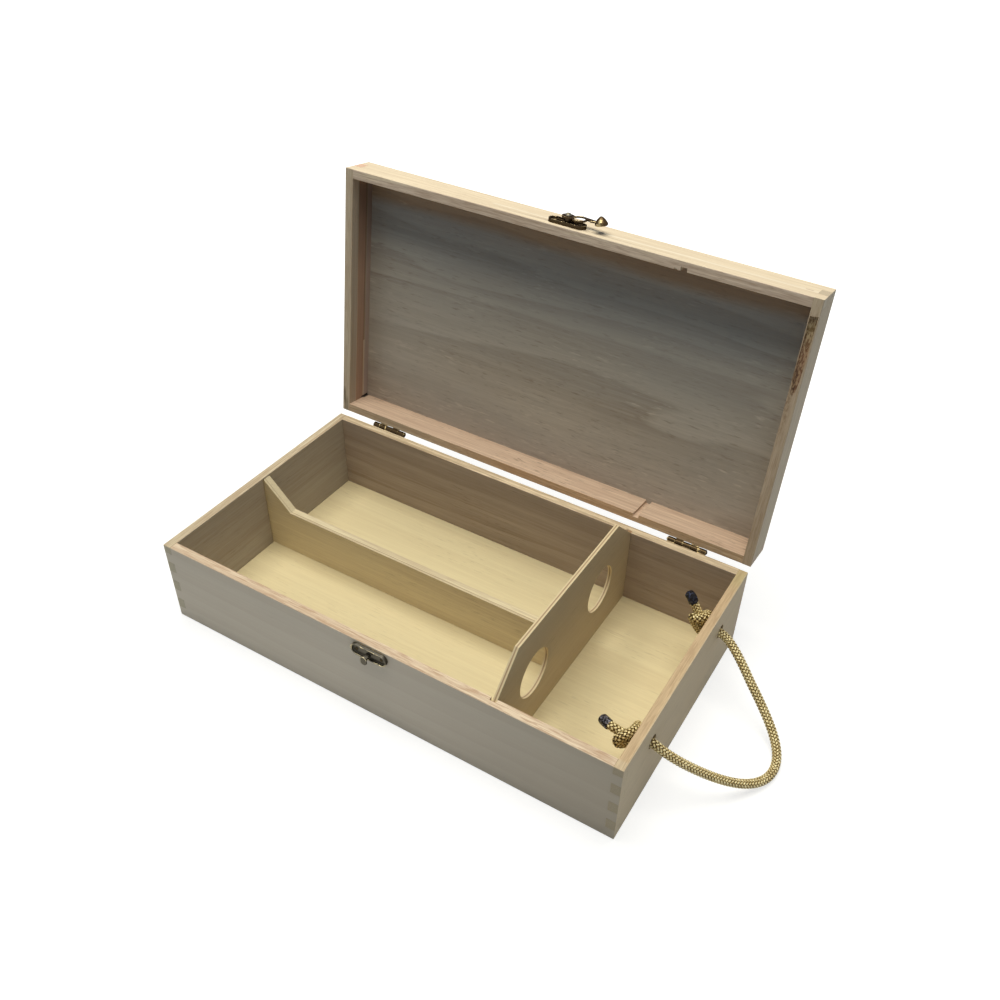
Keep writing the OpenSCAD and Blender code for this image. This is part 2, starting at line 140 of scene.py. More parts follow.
def rope_tree():
    """Geometry Nodes that cover a line with a core and staggered rows of slanted stitches."""
    tree = bpy.data.node_groups.new("rope_stitches", "GeometryNodeTree")
    ports = tree.interface
    ports.new_socket("Geometry", in_out="INPUT", socket_type="NodeSocketGeometry")
    for name, value in (
        ("Thickness", rope_d), ("Pitch", 2.4 * mm), ("Stitch Length", 3.1 * mm),
        ("Stitch Width", 1.7 * mm), ("Stitch Height", 0.8 * mm), ("Slant", 0.65),
    ):
        port = ports.new_socket(name, in_out="INPUT", socket_type="NodeSocketFloat")
        port.default_value = value
    ports.new_socket("Rows", in_out="INPUT", socket_type="NodeSocketInt").default_value = 10
    ports.new_socket("Thread", in_out="INPUT", socket_type="NodeSocketMaterial")
    ports.new_socket("Geometry", in_out="OUTPUT", socket_type="NodeSocketGeometry")
    given = put(tree, "NodeGroupInput").outputs
    # One point for each stitch: rows round the line, every second row half a pitch further on
    line = put(tree, "GeometryNodeMeshToCurve", {"Mesh": given["Geometry"]}).outputs[0]
    length = put(tree, "GeometryNodeCurveLength", {"Curve": line}).outputs[0]
    columns = calc(tree, "FLOOR", calc(tree, "DIVIDE", length, given["Pitch"]))
    count = calc(tree, "MULTIPLY", columns, given["Rows"])
    spots = put(tree, "GeometryNodePoints", {"Count": count}).outputs[0]
    index = put(tree, "GeometryNodeInputIndex").outputs[0]
    row = calc(tree, "FLOORED_MODULO", index, given["Rows"])
    odd = calc(tree, "FLOORED_MODULO", row, 2.0)
    column = calc(tree, "FLOOR", calc(tree, "DIVIDE", index, given["Rows"]))
    along = calc(tree, "MULTIPLY", given["Pitch"],
                 calc(tree, "ADD", column, calc(tree, "MULTIPLY_ADD", odd, 0.5, 0.25)))
    here = put(tree, "GeometryNodeSampleCurve", {"Curves": line, "Length": along},
               mode="LENGTH", use_all_curves=True).outputs
    tangent, normal = here["Tangent"], here["Normal"]
    side = vector(tree, "CROSS_PRODUCT", tangent, normal)
    turn = calc(tree, "DIVIDE", calc(tree, "MULTIPLY", row, math.tau), given["Rows"])
    out = vector(tree, "ADD", scaled(tree, normal, calc(tree, "COSINE", turn)),
                 scaled(tree, side, calc(tree, "SINE", turn)))
    reach = calc(tree, "SUBTRACT", calc(tree, "MULTIPLY", given["Thickness"], 0.5),
                 given["Stitch Height"])
    place = vector(tree, "ADD", here["Position"], scaled(tree, out, reach))
    spots = put(tree, "GeometryNodeSetPosition",
                {"Geometry": spots, "Position": place}).outputs[0]
    # Each stitch lies along the rope, leant to the left or the right by its row
    upright = put(tree, "FunctionNodeAlignRotationToVector", {"Vector": out}, axis="Z")
    facing = put(tree, "FunctionNodeAlignRotationToVector",
                 {"Rotation": upright.outputs[0], "Vector": tangent}, axis="X", pivot_axis="Z")
    lean = calc(tree, "MULTIPLY", given["Slant"], calc(tree, "MULTIPLY_ADD", odd, 2.0, -1.0))
    lean = put(tree, "ShaderNodeCombineXYZ", {"Z": lean}).outputs[0]
    lean = put(tree, "FunctionNodeEulerToRotation", {"Euler": lean}).outputs[0]
    facing = put(tree, "FunctionNodeRotateRotation",
                 {"Rotation": facing.outputs[0], "Rotate By": lean}, rotation_space="LOCAL")
    ball = put(tree, "GeometryNodeMeshIcoSphere", {"Radius": 1.0, "Subdivisions": 2}).outputs[0]
    spot = put(tree, "GeometryNodeInputPosition").outputs[0]
    ball = put(tree, "GeometryNodeStoreNamedAttribute",
               {"Geometry": ball, "Name": "stitch", "Value": spot},
               data_type="FLOAT_VECTOR", domain="POINT").outputs[0]
    size = put(tree, "ShaderNodeCombineXYZ", {
        "X": calc(tree, "MULTIPLY", given["Stitch Length"], 0.5),
        "Y": calc(tree, "MULTIPLY", given["Stitch Width"], 0.5),
        "Z": given["Stitch Height"],
    }).outputs[0]
    stitches = put(tree, "GeometryNodeInstanceOnPoints", {
        "Points": spots, "Instance": ball, "Rotation": facing.outputs[0], "Scale": size,
    }).outputs[0]
    # The core fills the rope just under the stitches' middles
    sunk = 0.2
    core = calc(tree, "SUBTRACT", reach, calc(tree, "MULTIPLY", given["Stitch Height"], sunk))
    ring = put(tree, "GeometryNodeCurvePrimitiveCircle", {"Resolution": 16, "Radius": core})
    tube = put(tree, "GeometryNodeCurveToMesh",
               {"Curve": line, "Profile Curve": ring.outputs[0], "Fill Caps": True}).outputs[0]
    whole = put(tree, "GeometryNodeJoinGeometry")
    tree.links.new(tube, whole.inputs[0])
    tree.links.new(stitches, whole.inputs[0])
    whole = put(tree, "GeometryNodeRealizeInstances", {"Geometry": whole.outputs[0]}).outputs[0]
    whole = put(tree, "GeometryNodeSetShadeSmooth", {"Geometry": whole}).outputs[0]
    whole = put(tree, "GeometryNodeSetMaterial",
                {"Geometry": whole, "Material": given["Thread"]}).outputs[0]
    put(tree, "NodeGroupOutput", {"Geometry": whole})
    return tree


def finished(source, name):
    """The object's evaluated shape as a new plain mesh object; the source is removed."""
    bpy.context.view_layer.update()
    shape = source.evaluated_get(bpy.context.evaluated_depsgraph_get())
    mesh = bpy.data.meshes.new_from_object(shape)
    bpy.data.objects.remove(source)
    mesh.name = name
    return placed(name, mesh)


def line_object(name, points):
    """A bare line of edges, for a tree to follow."""
    mesh = bpy.data.meshes.new(name)
    mesh.from_pydata(points, [(i, i + 1) for i in range(len(points) - 1)], [])
    return placed(name, mesh)


def shader(name):
    """A new material, its tree, its Principled node, and its Object coordinates."""
    material = bpy.data.materials.new(name)
    material.use_nodes = True
    tree = material.node_tree
    surface = tree.nodes["Principled BSDF"]
    where = put(tree, "ShaderNodeTexCoord").outputs["Object"]
    return material, tree, surface, where


def even(surface, values):
    """Values that are the same all over the surface, set on the shader's own sockets."""
    for socket, value in values.items():
        surface.inputs[socket].default_value = value


def bump(tree, surface, height, strength, distance):
    """Fine relief from a height; the distance is in metres."""
    relief = put(tree, "ShaderNodeBump",
                 {"Height": height, "Strength": strength, "Distance": distance}).outputs[0]
    tree.links.new(relief, surface.inputs["Normal"])


def clouds(tree, where, scale, detail, **more):
    """A noise texture's value at a place."""
    sockets = {"Vector": where, "Scale": scale, "Detail": detail, **more}
    return put(tree, "ShaderNodeTexNoise", sockets).outputs["Fac"]


def ramp(tree, value, *stops):
    """A colour ramp over a value; each stop is a place and a colour."""
    node = put(tree, "ShaderNodeValToRGB", {"Fac": value})
    while len(node.color_ramp.elements) < len(stops):
        node.color_ramp.elements.new(1.0)
    for element, (place, colour) in zip(node.color_ramp.elements, stops):
        element.position = place
        element.color = (*colour, 1.0)
    return node.outputs["Color"]


def blend(tree, factor, a, b, kind="MIX"):
    """Two colours mixed by a factor."""
    node = put(tree, "ShaderNodeMix", data_type="RGBA", blend_type=kind)
    for socket, value in ((0, factor), (6, a), (7, b)):
        if isinstance(value, bpy.types.NodeSocket):
            tree.links.new(value, node.inputs[socket])
        elif socket:
            node.inputs[socket].default_value = (*value, 1.0)
        else:
            node.inputs[socket].default_value = value
    return node.outputs[2]


def spread(tree, value, low, high, to_low=0.0, to_high=1.0):
    """A value mapped from one range to another, and kept inside it."""
    return put(tree, "ShaderNodeMapRange", {
        "Value": value, "From Min": low, "From Max": high, "To Min": to_low, "To Max": to_high,
    }).outputs[0]


def swing(tree, value, size):
    """A noise value times a size, moved to swing round zero."""
    return calc(tree, "MULTIPLY_ADD", value, size, -size / 2)


def braid_material(name, crown_highlight, flank, gap_shade):
    """Satin thread, with a painted highlight on each stitch's top and painted shade between
    stitches and between its fine strands.
    """
    material, tree, surface, where = shader(name)
    stitch = put(tree, "ShaderNodeAttribute", attribute_name="stitch").outputs["Vector"]
    part = split(tree, stitch)
    patch = clouds(tree, where, 260.0, 2.0)
    height = calc(tree, "ADD", part["Z"], swing(tree, patch, 0.7))
    # Painted highlight on the stitches' tops, and painted shade in the gaps between them
    colour = ramp(tree, height, (0.08, gap_shade), (0.52, flank), (0.96, crown_highlight))
    strands_across = 17.0
    strands = calc(tree, "SINE", calc(tree, "MULTIPLY", part["Y"], strands_across))
    colour = blend(tree, spread(tree, strands, -1.0, 0.2, 0.28, 0.0), colour, gap_shade)
    tree.links.new(colour, surface.inputs["Base Color"])
    even(surface, {"Roughness": 0.33, "Metallic": 0.3, "Sheen Weight": 0.15,
                   "Sheen Roughness": 0.4, "Sheen Tint": (0.95, 0.85, 0.55, 1.0)})
    bump(tree, surface, strands, 0.35, 0.00012)
    return material


def braid(name, line, thread, tree, **sizes):
    """A length of braided rope along a line."""
    rope = line_object(name + "_line", line)
    maker = rope.modifiers.new("braid", "NODES")
    maker.node_group = tree
    wanted = {"Thread": thread, **sizes}
    for item in tree.interface.items_tree:
        if item.in_out == "INPUT" and item.name in wanted:
            maker[item.identifier] = wanted[item.name]
    return finished(rope, name)


gold_thread = braid_material(
    "gold_thread", crown_highlight=(1.0, 0.88, 0.50), flank=(0.44, 0.30, 0.092), gap_shade=(0.105, 0.066, 0.019))
braiding = rope_tree()
handle_line = smooth_line([Vector(p) * mm for p in rope_route], 1.3 * mm)
handle = braid("rope_handle_braid", handle_line, gold_thread, braiding)
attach(handle, "base")
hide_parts("rope_handle")

# ---------- Rope knots and taped tips ----------
# The same rope, tied in an overhand knot inside the wall at each hole. Each cut end
# is wrapped in glossy, nearly black tape whose painted glints are blue at the back and grey at
# the front.

knot_d = 6.3 * mm
tape_length = 8.5 * mm
knot_routes = {
    "back": [
        (173.4, 54.5, rope_rest_z), (167, 53, 42.5), (159.9, 51, 53.6), (162.1, 50.1, 54.6),
        (164.5, 50.2, 55.6), (166.6, 51.5, 56.3), (168.1, 53.6, 56.4), (168.7, 56.1, 55.9),
        (168.3, 58.4, 54.7), (167.1, 59.9, 53), (165.5, 60.4, 51.1), (163.7, 59.8, 49.3),
        (162.4, 58, 47.9), (167.3, 55.5, 46.3), (165.4, 55, 51.4), (160.7, 55.7, 57.9),
        (156, 56.5, 64.5), (152.5, 57, 69.5)],
    "front": [
        (173.4, -54.5, rope_rest_z), (169, -56.2, 44), (165.6, -60, 43.2), (162.3, -63.6, 44),
        (160.8, -64.6, 47.8), (163.6, -62.4, 51), (166.8, -57.4, 51.8), (167.6, -52, 50.6),
        (167, -47.6, 47.5), (166, -46.6, 42.5), (164, -50, 40), (160.5, -54.4, 43),
        (155, -55.4, 45), (149.5, -54.3, 45), (143.5, -51.5, 44)],
}


def tape_material(name, colour, painted_glint):
    """Shiny tape, wrinkled where it is wrapped round the rope's end, with painted glints on its
    wrinkles.
    """
    material, tree, surface, where = shader(name)
    folds = clouds(tree, where, 330.0, 4.0, Distortion=2.2)
    # Painted glints: the wrinkles' tops coloured as highlights
    tone = ramp(tree, folds, (0.53, colour), (0.66, painted_glint))
    tree.links.new(tone, surface.inputs["Base Color"])
    even(surface, {"Roughness": 0.14, "Specular IOR Level": 0.25})
    bump(tree, surface, folds, 1.0, 0.0012)
    return material


def raw_object(name, shape):
    """An editable shape turned into an object that still needs its modifiers."""
    mesh = bpy.data.meshes.new(name)
    shape.to_mesh(mesh)
    shape.free()
    return placed(name + "_raw", mesh)


def taped_tip(name, line, length, material):
    """Tape wrapped round the last stretch of a line, lumpy and closed at its end."""
    keep = [line[-1]]
    for p in reversed(line[:-1]):
        keep.append(p)
        if (keep[0] - p).length > length:
            break
    keep.reverse()
    around = 20
    swell = 1.1
    closes_from, closes_by = 0.75, 7
    shape = bmesh.new()
    rings = []
    for k, p in enumerate(keep):
        ahead = (keep[min(k + 1, len(keep) - 1)] - keep[max(k - 1, 0)]).normalized()
        side = ahead.orthogonal().normalized()
        up = ahead.cross(side)
        share = k / (len(keep) - 1)
        r = rope_d / 2 * (swell - closes_by * max(0.0, share - closes_from) ** 2)
        ring = []
        for j in range(around):
            a = math.tau * j / around
            bulge = 1 + 0.05 * math.sin(3 * a + 5 * share) + 0.04 * math.sin(5 * a - 9 * share)
            ring.append(shape.verts.new(p + r * bulge * (math.cos(a) * side + math.sin(a) * up)))
        rings.append(ring)
    for one, two in zip(rings, rings[1:]):
        for j in range(around):
            shape.faces.new((one[j], one[(j + 1) % around], two[(j + 1) % around], two[j]))
    shape.faces.new(rings[0][::-1])
    shape.faces.new(rings[-1])
    bmesh.ops.recalc_face_normals(shape, faces=shape.faces)
    made = raw_object(name, shape)
    made.data.materials.append(material)
    for face in made.data.polygons:
        face.use_smooth = True
    rounding = made.modifiers.new("rounding", "SUBSURF")
    rounding.levels = rounding.render_levels = 1
    return finished(made, name)


tapes = {
    "back": tape_material("blue_tape", (0.002, 0.002, 0.006), painted_glint=(0.07, 0.085, 0.17)),
    "front": tape_material("grey_tape", (0.004, 0.004, 0.006), painted_glint=(0.26, 0.25, 0.30)),
}
knot_pieces = []
for place, route in knot_routes.items():
    line = smooth_line([Vector(p) * mm for p in route], 1.2 * mm)
    # The braid ends just inside the tape
    knot = braid("rope_knot_" + place + "_braid", line[:-2], gold_thread, braiding,
                 Thickness=knot_d)
    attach(knot, "base")
    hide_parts("rope_knot_" + place)
    tip = taped_tip("rope_tip_" + place + "_tape", line, tape_length, tapes[place])
    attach(tip, "base")
    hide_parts("rope_tip_" + place)
    knot_pieces += [knot, tip]

# ---------- Box walls ----------
# Four boards of pale, fast-grown wood, 6.6 mm thick, glued in finger joints. Their
# arrises are lightly sanded, and the joints show as fine dark lines.

wooden = [
    "front_wall", "back_wall", "left_wall", "right_wall", "floor_panel", "neck_plate",
    "centre_divider", "lid_front_rail", "lid_back_rail", "lid_left_rail", "lid_right_rail",
    "lid_panel",
]
surfaces = {}
for name in wooden:
    mesh = cad[name].data
    surfaces[name] = BVHTree.FromPolygons(
        [v.co for v in mesh.vertices], [p.vertices for p in mesh.polygons])


def cad_shape(node):
    """A node's CAD mesh as an editable shape, with doubled corners merged."""
    shape = bmesh.new()
    shape.from_mesh(cad[node].data)
    bmesh.ops.remove_doubles(shape, verts=shape.verts, dist=0.001 * mm)
    return shape


def board(node, material, body, ease=0.4 * mm, rough=None):
    """A board from its CAD solid, with its free arrises eased and its joints kept tight. Edges
    between the two rough places along X stay as they are."""
    joint_ease = 0.18 * mm
    shortest = 1.5 * mm
    contact = 0.05 * mm
    flat_angle = math.radians(0.4)
    arris_angle = math.radians(20)
    name = node + "_board"
    shape = cad_shape(node)
    bmesh.ops.dissolve_limit(shape, angle_limit=flat_angle,
                             verts=shape.verts, edges=shape.edges)
    weight = shape.edges.layers.float.new("bevel_weight_edge")
    others = [tree for key, tree in surfaces.items() if key != node]
    for edge in shape.edges:
        if len(edge.link_faces) != 2 or edge.calc_face_angle(0) < arris_angle:
            continue
        if edge.calc_length() < shortest:
            continue
        a, b = edge.verts[0].co, edge.verts[1].co
        if rough and rough[0] < (a.x + b.x) / 2 < rough[1]:
            continue
        touching = 0
        for share in (0.2, 0.5, 0.8):
            spot = a.lerp(b, share)
            touching += any(tree.find_nearest(spot, contact)[0] is not None for tree in others)
        edge[weight] = joint_ease / ease if touching > 1 else 1.0
    made = raw_object(name, shape)
    made.data.materials.clear()
    made.data.materials.append(material)
    rounding = made.modifiers.new("arrises", "BEVEL")
    rounding.limit_method = "WEIGHT"
    rounding.width = ease
    rounding.segments = 2
    rounding.use_clamp_overlap = False
    made = finished(made, name)
    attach(made, body)
    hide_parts(node)


def spot_mask(tree, place, low, high, soft):
    """1 inside a box given in millimetres, 0 outside, with sides as soft as given."""
    part = split(tree, place)
    if not isinstance(soft, tuple):
        soft = (soft, soft, soft)
    mask = 1.0
    for axis, a, b, s in zip("XYZ", low, high, soft):
        rise = spread(tree, part[axis], (a - s) * mm, (a + s) * mm)
        fall = spread(tree, part[axis], (b - s) * mm, (b + s) * mm, 1.0, 0.0)
        mask = calc(tree, "MULTIPLY", calc(tree, "MULTIPLY", rise, fall), mask)
    return mask


lid_hinge = next(joint for joint in frame["joints"] if joint["name"] == "lid_hinge")
hinge_axis = lid_hinge["pos_m"]
lid_turn = -math.radians(min(lid_hinge["range_deg"]))


def shut(tree, a, **centre):
    """A lid piece's place or direction, turned back to where it is with the lid shut."""
    return put(tree, "ShaderNodeVectorRotate", {"Vector": a, **centre, "Angle": lid_turn},
               rotation_type="X_AXIS").outputs[0]


def wood(name, pale, vein, along="X", shift=(0, 0), pitch=7.0, warp=26.0, rings=0.12,
         streaks=0.25, pores=0.25, dashes=0.45, flecks=0.0, mottle=0.25,
         shade=(0.80, 0.78, 0.78), end=(0.82, 0.82, 0.82), edge_streaks=2.2, seed=0.0,
         in_lid=False, marks=(), ragged=0.0, painted_shade=None):
    """Wood with growth rings round a pith line, drawn-out streaks, pores, pale flecks, broad
    mottling and darker end grain. All lengths are in millimetres, with the lid shut.

    Each mark is a box's low and high corners, the softness of its sides, a tint and a
    strength; with a second tint, grains of both cover the wood. The painted shade is an
    axis, the height that it stays below, and colours at places on the axis that multiply
    the wood as painted shade."""
    material, tree, surface, where = shader(name)
    facing = put(tree, "ShaderNodeTexCoord").outputs["Normal"]
    if in_lid:
        where = shut(tree, where, Center=hinge_axis)
        facing = shut(tree, facing)
    part = split(tree, where)
    face = split(tree, facing)
    across = "Y" if along == "X" else "X"
    here = put(tree, "ShaderNodeCombineXYZ", {
        "X": part[along], "Y": part[across], "Z": part["Z"]}).outputs[0]

    def noise(stretch, scale, detail, offset, output="Fac"):
        """Noise that is drawn out along the grain by a small stretch."""
        drawn = vector(tree, "MULTIPLY", here, (stretch, 1.0, 1.0))
        return put(tree, "ShaderNodeTexNoise", {
            "Vector": drawn, "W": seed + offset, "Scale": scale, "Detail": detail,
            "Roughness": 0.6}, noise_dimensions="4D").outputs[output]

    def both(a, b):
        """The product of two masks."""
        return calc(tree, "MULTIPLY", a, b)

    # Growth rings: distance from a pith line, bent by slow noise
    wander = noise(0.16, 14.0, 2.0, 0.0, "Color")
    wander = scaled(tree, vector(tree, "SUBTRACT", wander, (0.5, 0.5, 0.5)), warp * mm)
    bent = split(tree, vector(tree, "ADD", here, wander))
    pith = put(tree, "ShaderNodeCombineXYZ", {
        "Y": calc(tree, "ADD", bent["Y"], shift[0] * mm),
        "Z": calc(tree, "ADD", bent["Z"], shift[1] * mm)}).outputs[0]
    radius = put(tree, "ShaderNodeVectorMath", {0: pith}, operation="LENGTH").outputs["Value"]
    phase = calc(tree, "FRACT", calc(tree, "DIVIDE", radius, pitch * mm))
    grown = both(spread(tree, phase, 0.1, 0.92), spread(tree, phase, 1.0, 0.93))
    grown = both(grown, noise(0.1, 60.0, 2.0, 5.0))
    colour = blend(tree, both(grown, 2.0 * rings), pale, vein)
    # Streaks, dark and pale, stronger on the narrow faces that look up or down
    fibres = noise(0.02, 520.0, 4.0, 1.0)
    fine = noise(0.03, 1700.0, 2.0, 2.0)
    lines = calc(tree, "MULTIPLY_ADD", fibres, 0.65, both(fine, 0.35))
    level = calc(tree, "ABSOLUTE", face["Z"])
    gain = spread(tree, level, 0.6, 0.9, 1.0, edge_streaks)
    lighter = tuple(min(1.0, 1.16 * v) for v in pale)
    colour = blend(tree, both(spread(tree, lines, 0.58, 0.36, 0.0, streaks), gain), colour, vein)
    colour = blend(tree, both(spread(tree, lines, 0.50, 0.66, 0.0, streaks), gain), colour,
                   lighter)
    # Pores in crowds, and short dashes on the same narrow faces
    crowd = spread(tree, noise(0.3, 45.0, 2.0, 3.0), 0.42, 0.6)
    vessels = both(spread(tree, noise(0.1, 1000.0, 1.0, 4.0), 0.60, 0.70), crowd)
    colour = blend(tree, both(vessels, pores), colour, tuple(0.45 * v for v in vein))
    if dashes:
        short = spread(tree, noise(0.07, 1100.0, 2.0, 13.0), 0.49, 0.60, 0.0, dashes)
        colour = blend(tree, both(short, spread(tree, level, 0.6, 0.9)), colour, vein)
    # Pale flecks and small dark dents
    if flecks:
        glints = both(spread(tree, noise(0.16, 420.0, 2.0, 6.0), 0.56, 0.68),
                      spread(tree, noise(0.4, 30.0, 2.0, 7.0), 0.45, 0.6))
        colour = blend(tree, both(glints, flecks), colour, lighter)
        dents = spread(tree, noise(0.16, 430.0, 2.0, 8.0), 0.58, 0.70)
        colour = blend(tree, both(dents, flecks * 0.6), colour, vein)
    broad = spread(tree, noise(0.3, 14.0, 3.0, 9.0), 0.34, 0.66, mottle, 0.0)
    colour = blend(tree, broad, colour, tuple(p * k for p, k in zip(pale, shade)))
    # Marks, with ragged outlines where asked
    spot = where
    if ragged:
        stir = vector(tree, "SUBTRACT", noise(0.1, 160.0, 2.0, 10.0, "Color"), (0.5, 0.5, 0.5))
        spot = vector(tree, "ADD", where, scaled(tree, stir, ragged * mm))
    grit = noise(0.4, 900.0, 3.0, 12.0)
    for low, high, soft, tint, strength, *second in marks:
        mask = both(spot_mask(tree, spot, low, high, soft), strength)
        if second:
            colour = blend(tree, mask, colour, ramp(tree, grit, (0.44, tint), (0.58, second[0])))
        else:
            factor = tuple(t / p for t, p in zip(tint, pale))
            colour = blend(tree, mask, colour, factor, "MULTIPLY")
    # Painted shade: colours along an axis darken the wood below a height, for a cast shadow
    if painted_shade:
        axis, below, *stops = painted_shade
        first, last = stops[0][0], stops[-1][0]
        wavy = swing(tree, noise(0.3, 22.0, 2.0, 11.0), 16 * mm)
        share = spread(tree, calc(tree, "ADD", part[axis], wavy), first * mm, last * mm)
        tones = ramp(tree, share, *(((at - first) / (last - first), tone) for at, tone in stops))
        inner = spread(tree, part["Z"], below * mm, (below + 0.2) * mm, 1.0, 0.0)
        colour = blend(tree, inner, colour, tones, "MULTIPLY")
    # End grain: darker, and dotted with cut pores
    ends = spread(tree, calc(tree, "ABSOLUTE", face[along]), 0.6, 0.85)
    dots = noise(1.0, 1500.0, 1.0, 0.0)
    sawn = tuple(p * e for p, e in zip(pale, end))
    cut = blend(tree, spread(tree, dots, 0.45, 0.65), sawn, tuple(0.85 * v for v in sawn))
    tree.links.new(blend(tree, ends, colour, cut), surface.inputs["Base Color"])
    tree.links.new(spread(tree, lines, 0.3, 0.7, 0.58, 0.74), surface.inputs["Roughness"])
    even(surface, {"Specular IOR Level": 0.35})
    relief = calc(tree, "SUBTRACT", both(lines, 0.6), both(vessels, 0.5))
    bump(tree, surface, relief, 0.3, 0.00025)
    return material


vein_wood = (0.40, 0.27, 0.16)
rim_low, rim_high = 68.3, 69
board("front_wall", wood(
    "front_wall_wood", (0.83, 0.72, 0.57), (0.46, 0.29, 0.18), shift=(60, -80), pitch=11,
    rings=0.10, streaks=0.07, pores=0.06, dashes=0.7, mottle=0.45, end=(0.86, 0.80, 0.66),
    edge_streaks=10.0, seed=1.0, marks=[
        # Warmer rim, and painted shade on the face, darker towards the right
        ((-190, -99, rim_low), (190, -90, rim_high), (1, 1, 0.1), (0.83, 0.67, 0.48), 0.75),
        ((110, -99, -9), (300, -97.8, 90), (90, 0.1, 1), (0.44, 0.36, 0.25), 0.6)]), "base")
board("back_wall", wood(
    "back_wall_wood", (0.86, 0.66, 0.475), vein_wood, shift=(-40, -120), pitch=14, warp=40,
    rings=0.38, streaks=0.36, pores=0.3, edge_streaks=2.6, seed=2.0, marks=[
        # Painted shade on the inside face, and a yellower rim
        ((-190, 91, -1), (190, 91.7, 68.4), (1, 0.15, 0.1), (0.44, 0.362, 0.306), 0.92),
        ((-190, 91.7, rim_low), (190, 99, rim_high), (1, 0.1, 0.1), (0.82, 0.68, 0.465), 0.85),
    ]), "base")
board("left_wall", wood(
    "left_wall_wood", (0.71, 0.61, 0.43), vein_wood, "Y", (-110, -70), pitch=9, rings=0.16,
    streaks=0.35, end=(0.93, 0.93, 0.93), edge_streaks=2.6, seed=3.0, marks=[
        # Painted shade on the inside face
        ((-173.7, -99, -1), (-173, 99, 68.4), (0.15, 1, 0.1), (0.38, 0.34, 0.29), 0.92)]), "base")
board("right_wall", wood(
    "right_wall_wood", (0.72, 0.58, 0.38), vein_wood, "Y", (110, -90), pitch=10, rings=0.06,
    streaks=0.18, end=(0.74, 0.74, 0.74), edge_streaks=2.6, seed=4.0, marks=[
        # Browner rim, greener at its far end
        ((170, -91.6, rim_low), (179.3, 99, rim_high), (0.4, 1, 0.1), (0.67, 0.49, 0.29), 0.85),
        ((170, 80, rim_low), (180, 99, rim_high), (1, 8, 0.1), (0.69, 0.63, 0.36), 0.8)]), "base")

# ---------- Floor panel ----------
# A thin, pale plywood panel that closes the base. It is let into a rebate round the
# walls and glued in flush with their lower edges.

board("floor_panel", wood(
    "floor_panel_wood", (0.75, 0.65, 0.40), (0.52, 0.38, 0.2), shift=(20, 140), pitch=12,
    streaks=0.18, pores=0.2, dashes=0.0, mottle=0.2, edge_streaks=1.0, seed=5.0), "base")

# ---------- Neck plate and centre divider ----------
# The neck plate is three-ply, has two holes for the bottles' necks and stands in grooves
# in the long walls. The divider is a solid board that runs from it to the left wall.


def plywood(name, across_axis, low, thickness, pale, outer, core, **more):
    """Three-ply wood: the faces' veneer, and the plies that show on the edges."""
    material = wood(name, pale, (0.45, 0.33, 0.17), rings=0.14, streaks=0.3, pores=0.3,
                    dashes=0.0, **more)
    tree = material.node_tree
    surface = tree.nodes["Principled BSDF"]
    veneer = surface.inputs["Base Color"].links[0].from_socket
    coords = put(tree, "ShaderNodeTexCoord").outputs
    place = split(tree, coords["Object"])[across_axis]
    share = calc(tree, "DIVIDE", calc(tree, "SUBTRACT", place, low), thickness)
    plies = ramp(tree, share, (0.0, outer), (0.30, outer), (0.36, core), (0.60, core),
                 (0.66, outer))
    face = split(tree, coords["Normal"])[across_axis]
    flat = spread(tree, calc(tree, "ABSOLUTE", face), 0.5, 0.8)
    tree.links.new(blend(tree, flat, plies, veneer), surface.inputs["Base Color"])
    return material


plate_low, plate_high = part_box("neck_plate")
board("neck_plate", plywood(
    "neck_plate_ply", "X", plate_low.x, plate_high.x - plate_low.x, pale=(0.57, 0.48, 0.33),
    outer=(0.74, 0.61, 0.38), core=(0.42, 0.29, 0.17), along="Y", shift=(80, -60), pitch=14,
    seed=6.0), "base", ease=0.25 * mm)
board("centre_divider", wood(
    "centre_divider_wood", (0.76, 0.66, 0.44), vein_wood, shift=(60, -50), pitch=12,
    dashes=0.2, seed=7.0, marks=[
        # A dark line along the low edge
        ((-180, -1.9, 40), (100, -1.3, 70), 0.15, (0.34, 0.23, 0.12), 0.75)]),
    "base", ease=0.3 * mm)

# ---------- Lid frame ----------
# Four rails, finger-jointed at the corners like the walls, because the lid is sawn off
# the same glued-up box. They stand open with the lid.

lip_low, lip_high = 68, 69.15
board("lid_front_rail", wood(
    "lid_front_rail_wood", (0.80, 0.68, 0.50), vein_wood, shift=(20, -200), pitch=15,
    streaks=0.40, pores=0.2, mottle=0.2, edge_streaks=1.3, seed=8.0, in_lid=True, ragged=1.5,
    marks=[
        # Pale strip on the face, duller lip, and a brown speck near the right end
        ((-60, -99, 79), (190, -97, 81.5), 1.2, (0.95, 0.90, 0.76), 0.5),
        ((-190, -99, lip_low), (190, -91, lip_high), (1, 0.5, 0.1), (0.72, 0.58, 0.46), 0.85),
        ((165, -99, 80.4), (170, -97, 81.4), 0.5, (0.40, 0.24, 0.13), 0.7)]),
    "lid", ease=0.3 * mm)
board("lid_back_rail", wood(
    "lid_back_rail_wood", (0.77, 0.58, 0.43), (0.46, 0.28, 0.18), shift=(-60, 20), pitch=12,
    rings=0.14, streaks=0.62, pores=0.8, edge_streaks=1.3, seed=9.0, in_lid=True, marks=[
        # Redder lip, greyer towards both its ends, and painted shade, nearly black, in the left
        # inner corner
        ((-190, 91, lip_low), (190, 99, lip_high), (1, 0.5, 0.1), (0.78, 0.53, 0.31), 0.8),
        ((-190, 91, lip_low), (-70, 99, lip_high), (50, 0.5, 0.1), (0.68, 0.62, 0.54), 0.9),
        ((110, 91, lip_low), (190, 99, lip_high), (40, 0.5, 0.1), (0.72, 0.62, 0.50), 0.9),
        ((-174, 91, 86.5), (-171.9, 92, 93.2), 0.4, (0.02, 0.014, 0.01), 0.95)]),
    "lid", ease=0.3 * mm)
